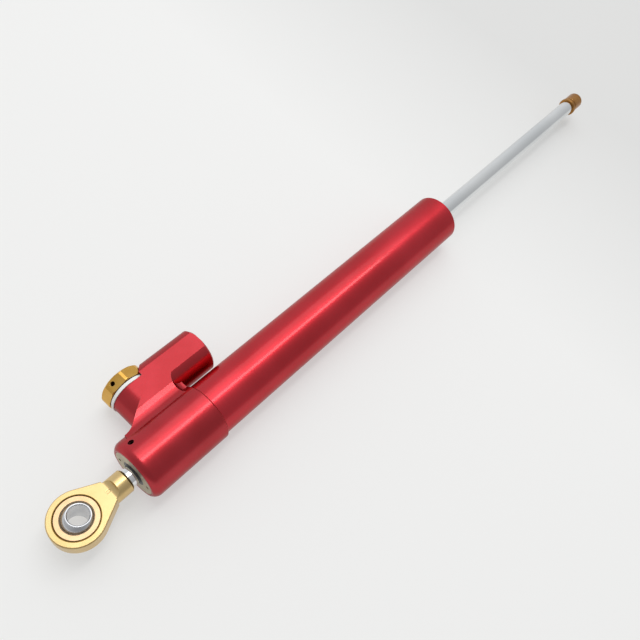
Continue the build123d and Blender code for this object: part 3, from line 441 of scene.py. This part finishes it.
def rounded(corners, cut, steps=5):
    """Closed section whose corners are rounded, as points (along, radius).

    Each corner gives way to a curve that leaves one edge at the cut distance and meets the
    next at the same distance: (1-s)^2 of the first point, 2s(1-s) of the corner and s^2 of the
    last point, for s from 0 to 1.
    """
    corner = np.array(corners, float)
    back = np.roll(corner, 1, axis=0) - corner
    ahead = np.roll(corner, -1, axis=0) - corner
    first = corner + back * cut / np.linalg.norm(back, axis=1, keepdims=True)
    last = corner + ahead * cut / np.linalg.norm(ahead, axis=1, keepdims=True)
    s = np.linspace(0, 1, steps).reshape(1, -1, 1)
    curve = ((1 - s) ** 2 * first[:, None] + 2 * s * (1 - s) * corner[:, None]
             + s ** 2 * last[:, None])
    return curve.reshape(-1, 2)


def moulded(name, sections, node, body, **place):
    """Rubber piece: closed sections carried round an axis."""
    grids = [around(section[:, 0], section[:, 1], **place) for section in sections]
    stand_for(skin(name, grids), rubber, body, node)


# Bare turned aluminium: pale, softly shining, with visible hoops.
plain_aluminium = finished("turned aluminium", bare_aluminium, turning_round_rod,
                           cloud_mm=12.0, roughness=0.30, spread=0.07, relief_mm=0.003,
                           edge_mm=0.12)
# Blued and oiled spring steel: almost black, with a soft shine.
spring_steel = finished("oiled spring steel", ("#424347", "#55565A"), turning_round_rod,
                        cloud_mm=4.0, roughness=0.35, spread=0.08, relief_mm=0.002)
# Bronze filled slippery plastic: dull brown, smooth.
filled_plastic = finished("bronze filled slippery plastic", ("#5B4A36", "#6C5840"), fine_grain,
                          cloud_mm=3.0, roughness=0.5, spread=0.06, relief_mm=0.004,
                          metallic=0.0)
# Nitrile rubber: black, dull, with a faint oily shine.
rubber = finished("nitrile rubber", ("#17181A", "#202123"), rubber_grain, cloud_mm=3.0,
                  roughness=0.45, spread=0.08, relief_mm=0.004, metallic=0.0, coat=0.15,
                  coat_roughness=0.3)
dress(plain_aluminium, "piston")
dress(spring_steel, "piston_circlips")
dress(filled_plastic, "piston_band")
moulded("expander_ring", [rounded(oblong(expander_x, expander_r), cut=0.15)],
        "piston_expander", "piston_seals")


# Inner tube
# Thin drawn aluminium tube that the piston runs in, honed inside. Four holes at its far end let
# the oil through to the gap between the two tubes.

dress(plain_aluminium, "inner_tube")


# Near gland
# Turned aluminium, hard anodised, pushed into the collar and held by a lock screw. It carries a
# bronze bush, a lip seal and a wiper for the rod, and two rubber rings seal it in the collar.

near_face_x = 25.3
near_bump_x = (65.0, 67.7)
bump_rs = (4.3, 6.1)
gland_rings_x = (33.0, 40.9)
gland_ring_centre_r = 8.91
gland_ring_cord_r = 0.59
# The wiper's lip stands out of the gland's face, and its back lies behind that face. Its radii
# go from the rod to the seat.
wiper_back = 2.6
wiper_lip = 0.6
wiper_rs = (4.04, 4.29, 4.54, 5.54)
# The lip seal's heel and toe and the root of its notch, behind the face. Its radii go from the
# lip on the rod, past the root, to the lip on the seat.
seal_heel = 3.65
seal_toe = 7.25
seal_notch = 5.65
seal_rs = (4.04, 4.59, 5.14, 5.69, 6.24)


def cord(centre_x, centre_r, cord_r, steps=24):
    """Round section of a rubber cord: a circle of cord_r about (centre_x, centre_r)."""
    turn = np.linspace(0, 2 * np.pi, steps, endpoint=False)
    return np.stack([centre_x + cord_r * np.cos(turn), centre_r + cord_r * np.sin(turn)], axis=1)


def rod_rubbers(side, face_x, way, bump_x):
    """Wiper, lip seal and bump ring of one gland, seen from its outer face inwards."""
    inner, lip, bell, outer = wiper_rs
    back_x = face_x + way * wiper_back
    lip_x = face_x - way * wiper_lip
    moulded(f"{side}_wiper_ring",
            [rounded([(back_x, inner), (lip_x, inner), (lip_x, lip), (face_x, bell),
                      (face_x, outer), (back_x, outer)], cut=0.1)],
            f"{side}_wiper", "damper_body")
    heel_x, toe_x, notch_x = (face_x + way * reach for reach in (seal_heel, seal_toe, seal_notch))
    low, low_lip, root, high_lip, high = seal_rs
    moulded(f"{side}_lip_seal",
            [rounded([(heel_x, low), (toe_x, low), (toe_x, low_lip), (notch_x, root),
                      (toe_x, high_lip), (toe_x, high), (heel_x, high)], cut=0.12)],
            f"{side}_rod_seal", "damper_body")
    moulded(f"{side}_bump_cushion", [rounded(oblong(bump_x, bump_rs), cut=0.5, steps=8)],
            f"{side}_bump_ring", "damper_body")


# Hard anodised aluminium: a dull olive grey with turned circles on its face.
# Its third colour is a painted highlight on the broken edges.
hard_anodised = finished("hard anodised turned aluminium", ("#A29676", "#B4A888", "#D8D0B4"),
                         turning_round_rod, cloud_mm=5.0, roughness=0.34, spread=0.07,
                         relief_mm=0.004, edge_mm=0.15)
# Sintered bronze, full of oil: warm brown, slightly open grain.
bronze = finished("sintered bronze", ("#9C7844", "#AE8850"), fine_grain, cloud_mm=3.0,
                  roughness=0.4, spread=0.08, relief_mm=0.006)
dress(hard_anodised, "near_gland")
dress(bronze, "near_guide_bush")
moulded("gland_seal_rings",
        [cord(x, gland_ring_centre_r, gland_ring_cord_r) for x in gland_rings_x],
        "near_gland_o_rings", "damper_body")
rod_rubbers("near", near_face_x, 1, near_bump_x)


# Far gland
# The same bush, lip seal and wiper in a shorter gland that a circlip holds in the tube's end,
# with one rubber ring round it. Its thin nose fills the mouth of the tube round the rod.

far_face_x = 221.8
far_bump_x = (204.3, 207.0)
far_ring_x = 214.5
far_ring_centre_r = 9.89

dress(hard_anodised, "far_gland")
dress(bronze, "far_guide_bush")
dress(spring_steel, "far_circlip")
moulded("far_seal_ring", [cord(far_ring_x, far_ring_centre_r, gland_ring_cord_r)],
        "far_gland_o_ring", "damper_body")
rod_rubbers("far", far_face_x, -1, far_bump_x)


# Damper tube
# Drawn aluminium tube, turned and polished round, then anodised red and sealed, which leaves
# the dye under a clear hard film. A rubber ring seals its end in the housing.

tube_ring_x = 51.5
tube_ring_centre_r = 11.25
tube_ring_cord_r = 0.48
# Tint of what the dyed film mirrors at a low angle: paler than its red, and not white.
film_slant = "#C49A9A"


def polishing_round_tube(material):
    """Marks of the polishing belt round the tube, drawn 0.8 mm wide so that they show."""
    return lathe_marks(material, ball_centre, rod_axis, feed_mm=0.8)


# Red dye under a clear film: deep red with white highlights on top, soft and slightly uneven
# round the tube, and a painted highlight as a paler line at its end, where the edge is broken.
polished_red = finished("red anodised polished tube", ("#BA262F", "#C42D37", "#E8868A"),
                        polishing_round_tube, cloud_mm=22.0, roughness=0.36, spread=0.03,
                        relief_mm=0.0015, edge_mm=0.15, coat=0.5, coat_roughness=0.12,
                        slant=film_slant)
dress(polished_red, "damper_tube")
moulded("tube_end_ring", [cord(tube_ring_x, tube_ring_centre_r, tube_ring_cord_r)],
        "tube_o_ring", "damper_body")


# Housing
# Collar, valve boss, web and reservoir barrel, milled and bored from one block of aluminium,
# polished and anodised red like the tube. A black grub screw in the collar locks the gland.


def milling(material):
    """Traces of the milling cutter along the block, 2 mm long, smoothed by the polishing."""
    return speckle(material, (2.0, 0.5, 0.5))


# The same red film over milled faces: flatter, a little duller, with a painted highlight on the
# broken edges.
milled_red = finished("red anodised milled aluminium", ("#AE262D", "#B82D36", "#F0969A"),
                      milling, cloud_mm=14.0, roughness=0.34, spread=0.03, relief_mm=0.0015,
                      edge_mm=0.15, coat=0.5, coat_roughness=0.14, slant=film_slant)
# Black oxide on steel: near black with a dull shine.
black_oxide = finished("black oxide steel", ("#33302E", "#45413E"), fine_grain, cloud_mm=2.0,
                       roughness=0.4, spread=0.08, relief_mm=0.002)
dress(milled_red, "housing")
dress(black_oxide, "gland_lock_screw")


# Needle valve
# In the boss, a bronze seat insert, a ground needle with two flats, an aluminium bush that
# guides it and the threaded spindle that draws it in and out, each sealed by a rubber ring.

boss_centre = (46.6, 0.0, 0.0)
boss_axis = (0.0, 0.99574, -0.0922)
boss_up = (0.0, 0.0922, 0.99574)
# Rubber rings: place along the boss's axis, radius of the cord's middle, radius of the cord.
bush_ring = (25.825, 5.585, 0.415)
spindle_ring = (22.282, 2.495, 0.325)


def turning_round_boss(material):
    """Feed marks of the turning tool round the boss's axis: 0.1 mm wide, drawn twice as wide."""
    return lathe_marks(material, boss_centre, boss_axis, feed_mm=0.2)


# Bare aluminium turned on the boss's axis: pale, softly shining, with hoops round that axis.
boss_aluminium = finished("aluminium turned round the boss", bare_aluminium,
                          turning_round_boss, cloud_mm=6.0, roughness=0.30, spread=0.07,
                          relief_mm=0.003, edge_mm=0.12)
# Needle steel, ground on its own axis: a bright mirror with fine hoops.
needle_steel = finished("ground needle steel", ("#C0C1C4", "#D0D1D3"), turning_round_boss,
                        cloud_mm=4.0, roughness=0.18, spread=0.05, relief_mm=0.001)
dress(bronze, "valve_seat")
dress(needle_steel, "adjuster_needle")
dress(boss_aluminium, "adjuster_bush", "adjuster_spindle")
moulded("valve_bush_ring", [cord(*bush_ring)], "adjuster_bush_o_ring", "damper_body",
        centre=boss_centre, axis=boss_axis, up=boss_up)
moulded("spindle_ring", [cord(*spindle_ring)], "spindle_o_ring", "adjuster",
        centre=boss_centre, axis=boss_axis, up=boss_up)


# Adjuster knob
# Turned aluminium with eight milled finger flats and a dished end, anodised gold, clamped on
# the spindle by a grub screw. Two sprung balls in it click round a white ring under it.

# Small springs behind the balls: their circle round the boss's axis, then each spring's ends
# along that axis, the radius of its coil and of its wire, and its turns.
detent_pitch_r = 7.6
detent_angles_deg = (120.0, -60.0)
detent_coil_along = (29.35, 31.8)
detent_coil_r = 0.63
detent_wire_r = 0.1
detent_turns = 7
# What the wire moves on in an end turn, in radii of the wire: just over its own thickness.
end_turn_rise = 2.1


def coil(centre, start, end, mean_r, wire_r, turns, axis, up, rows=240, sides=12):
    """Grid of points over a coil spring with closed ends, ground flat.

    The wire's middle goes round at mean_r while it moves on along the axis: a little more than
    the wire's thickness in the first and the last turn, which lie close, and evenly between
    them. The wire is a circle of wire_r across it, and what would stand out past either end is
    pressed back to it, as the grinding cuts it off.
    """
    axis, up = np.array(axis), np.array(up)
    done = np.linspace(0, turns, rows)
    rise = end_turn_rise * wire_r
    along = np.interp(done, [0, 1, turns - 1, turns], [start, start + rise, end - rise, end])
    turn = 2 * np.pi * done[:, None]
    arm = np.cos(turn) * up + np.sin(turn) * np.cross(axis, up)
    lean = np.linspace(0, 2 * np.pi, sides, endpoint=False)
    out = mean_r + wire_r * np.cos(lean)
    place = np.clip(along[:, None] + wire_r * np.sin(lean), start, end)
    return np.array(centre) + place[:, :, None] * axis + out[None, :, None] * arm[:, None, :]


# Gold dye on turned aluminium: a clear metallic shine, hoops round it, a pale painted highlight on
# the corners.
turned_gold = finished("gold anodised turned aluminium", ("#D2A048", "#DCAE5A", "#FFE49A"),
                       turning_round_boss, cloud_mm=6.0, roughness=0.22, spread=0.06,
                       relief_mm=0.004, edge_mm=0.25, coat=0.2, coat_roughness=0.15)
# White nylon: clean, half dull, with hardly a shade in its colour.
white_nylon = finished("white nylon", ("#F1F1EE", "#F6F6F3"), fine_grain, cloud_mm=3.0,
                       roughness=0.42, spread=0.05, relief_mm=0.003, metallic=0.0)
dress(turned_gold, "adjuster_knob")
dress(white_nylon, "detent_ring")
dress(needle_steel, "detent_balls")
dress(black_oxide, "knob_grub_screw")
boss_side = np.cross(boss_axis, boss_up)
coils = []
for angle_deg in detent_angles_deg:
    angle = np.radians(angle_deg)
    offset = detent_pitch_r * (np.cos(angle) * np.array(boss_up) + np.sin(angle) * boss_side)
    coils.append(coil(np.array(boss_centre) + offset, *detent_coil_along, detent_coil_r,
                      detent_wire_r, detent_turns, axis=boss_axis, up=boss_up))
stand_for(skin("detent_coils", coils, ring=False), spring_steel, "adjuster",
          "detent_springs")


# Reservoir
# A floating aluminium piston parts the oil from a coil spring in the barrel. A turned plug with
# a hexagon socket closes it, held by an open clip. Piston and plug have a rubber ring each.

barrel_centre = (0.0, 23.9973, -2.2220)
spring_x = (67.55, 75.95)
spring_mean_r = 5.4
spring_wire_r = 0.5
spring_turns = 5.5
# Rubber rings: x, radius of the cord's middle, radius of the cord.
float_ring = (64.75, 7.28, 0.70)
plug_ring = (77.5, 7.44, 0.54)

dress(plain_aluminium, "reservoir_piston")
dress(hard_anodised, "reservoir_plug")
dress(spring_steel, "reservoir_circlip")
moulded("floating_piston_ring", [cord(*float_ring)], "reservoir_piston_o_ring",
        "floating_piston", centre=barrel_centre)
spring = skin("float_spring", [coil(barrel_centre, *spring_x, spring_mean_r, spring_wire_r,
                                    spring_turns, axis=rod_axis, up=(0, 0, 1))], ring=False)
stand_for(spring, spring_steel, "damper_body", "reservoir_spring")
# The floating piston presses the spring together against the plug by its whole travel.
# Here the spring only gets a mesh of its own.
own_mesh(spring)
moulded("plug_ring", [cord(*plug_ring)], "reservoir_plug_o_ring", "damper_body",
        centre=barrel_centre)


# Cap nut
# A flanged nut turned from aluminium and anodised a darker gold, screwed on the rod's far end.
# It keeps the rod's thread covered and stops a clamp from sliding off.

# Darker gold dye on turned aluminium: brownish, with hoops and a pale painted highlight on the
# edges.
dark_gold = finished("dark gold anodised turned aluminium", ("#A06E34", "#AE7C40", "#D8B070"),
                     turning_round_rod, cloud_mm=5.0, roughness=0.30, spread=0.06,
                     relief_mm=0.004, edge_mm=0.25, coat=0.2, coat_roughness=0.2)
dress(dark_gold, "rod_end_cap")


# Floor, light and camera
# A pale card in a pale room that is brighter on the reservoir's side. A long soft light hangs
# above the tube, with a broad one beside it and a small one on the knob's side. All in metres.

floor_z = cad_box[0][2]
floor_half = 3.0
# Half of what the camera, a mirror or glass sees of the card is its own glow, so that it is
# nearly white and still keeps the shadows. The glow falls off along X towards the cap nut.
glow_share = 0.5
glow_falls_x = (0.22, 0.39)
near_glow = 1.0
far_glow = 0.69
# Way to the bright side of the room, and the room's light from the dim and the bright side.
bright_way = (0.4, 0.92, 0.0)
dim_side = 0.38
bright_side = 0.82
# Soft lights: name, place, length and width, watts.
lamps = (("long light", (0.50, 0.045, 1.2), (1.10, 0.20), 4.0),
         ("broad light", (0.55, 0.60, 1.2), (1.30, 1.00), 3.9),
         ("near light", (0.114, 0.326, 1.19), (0.40, 0.40), 0.6))
# The camera as it was fitted to the photograph: its place, its axes (right, up and back), its
# focal length in mm and its sideways shift in widths of the picture.
camera_place = (-0.02450, -0.06997, 0.26762)
camera_axes = ((0.66657, -0.71904, 0.19658),
               (0.56513, 0.65941, 0.49577),
               (-0.48612, -0.21937, 0.84590))
focal_length = 39.375
side_shift = 0.0047

floor_mesh = bpy.data.meshes.new("floor")
floor_mesh.from_pydata([(-floor_half, -floor_half, floor_z), (floor_half, -floor_half, floor_z),
                        (floor_half, floor_half, floor_z), (-floor_half, floor_half, floor_z)],
                       [], [(0, 1, 2, 3)])
floor = bpy.data.objects.new("floor", floor_mesh)
bpy.context.scene.collection.objects.link(floor)
# Uncoated pale card: matt, hardly a shine.
card = bpy.data.materials.new("pale card")
card.use_nodes = True
paper = card.node_tree.nodes["Principled BSDF"]
paper.inputs["Base Color"].default_value = linear("#EFEFED")
paper.inputs["Roughness"].default_value = 0.7
paper.inputs["Specular IOR Level"].default_value = 0.2
place = add(card, "ShaderNodeSeparateXYZ", None,
            {"Vector": add(card, "ShaderNodeTexCoord").outputs["Object"]})
fall = add(card, "ShaderNodeMapRange",
           {"From Min": glow_falls_x[0], "From Max": glow_falls_x[1], "To Min": near_glow,
            "To Max": far_glow}, {"Value": place.outputs["X"]})
glow = add(card, "ShaderNodeEmission", {"Color": linear("#F4F4F3")},
           {"Strength": fall.outputs["Result"]})
ray = add(card, "ShaderNodeLightPath")
direct = add(card, "ShaderNodeMath", {"operation": "ADD"},
             {0: ray.outputs["Is Camera Ray"], 1: ray.outputs["Is Glossy Ray"]})
seen = add(card, "ShaderNodeMath", {"operation": "ADD"},
           {0: direct.outputs[0], 1: ray.outputs["Is Transmission Ray"]})
share = add(card, "ShaderNodeMath", {"operation": "MULTIPLY", 1: glow_share},
            {0: seen.outputs[0]})
mixed = add(card, "ShaderNodeMixShader", None,
            {0: share.outputs[0], 1: paper.outputs["BSDF"], 2: glow.outputs["Emission"]})
card.node_tree.links.new(card.node_tree.nodes["Material Output"].inputs["Surface"],
                         mixed.outputs["Shader"])
floor_mesh.materials.append(card)

world = bpy.data.worlds.new("pale room")
bpy.context.scene.world = world
world.use_nodes = True
direction = add(world, "ShaderNodeTexCoord").outputs["Generated"]
toward = add(world, "ShaderNodeVectorMath", {"operation": "DOT_PRODUCT", 1: bright_way},
             {0: direction})
side_light = add(world, "ShaderNodeMapRange",
                 {"From Min": -1.0, "From Max": 1.0, "To Min": dim_side, "To Max": bright_side},
                 {"Value": toward.outputs["Value"]})
sky = world.node_tree.nodes["Background"]
sky.inputs["Color"].default_value = linear("#FCFDFF")
world.node_tree.links.new(sky.inputs["Strength"], side_light.outputs["Result"])

for name, spot, size, watts in lamps:
    lamp = bpy.data.lights.new(name, "AREA")
    lamp.shape = "RECTANGLE"
    lamp.size, lamp.size_y = size
    lamp.energy = watts
    light = bpy.data.objects.new(name, lamp)
    light.location = spot
    bpy.context.scene.collection.objects.link(light)

lens = bpy.data.cameras.new("camera")
lens.sensor_width = 36.0
lens.lens = focal_length
lens.shift_x = side_shift
lens.clip_start = 0.01
camera = bpy.data.objects.new("camera", lens)
axes = Matrix(camera_axes).transposed().to_4x4()
camera.matrix_world = Matrix.Translation(camera_place) @ axes
bpy.context.scene.collection.objects.link(camera)
bpy.context.scene.camera = camera
bpy.context.scene.view_settings.view_transform = "Standard"
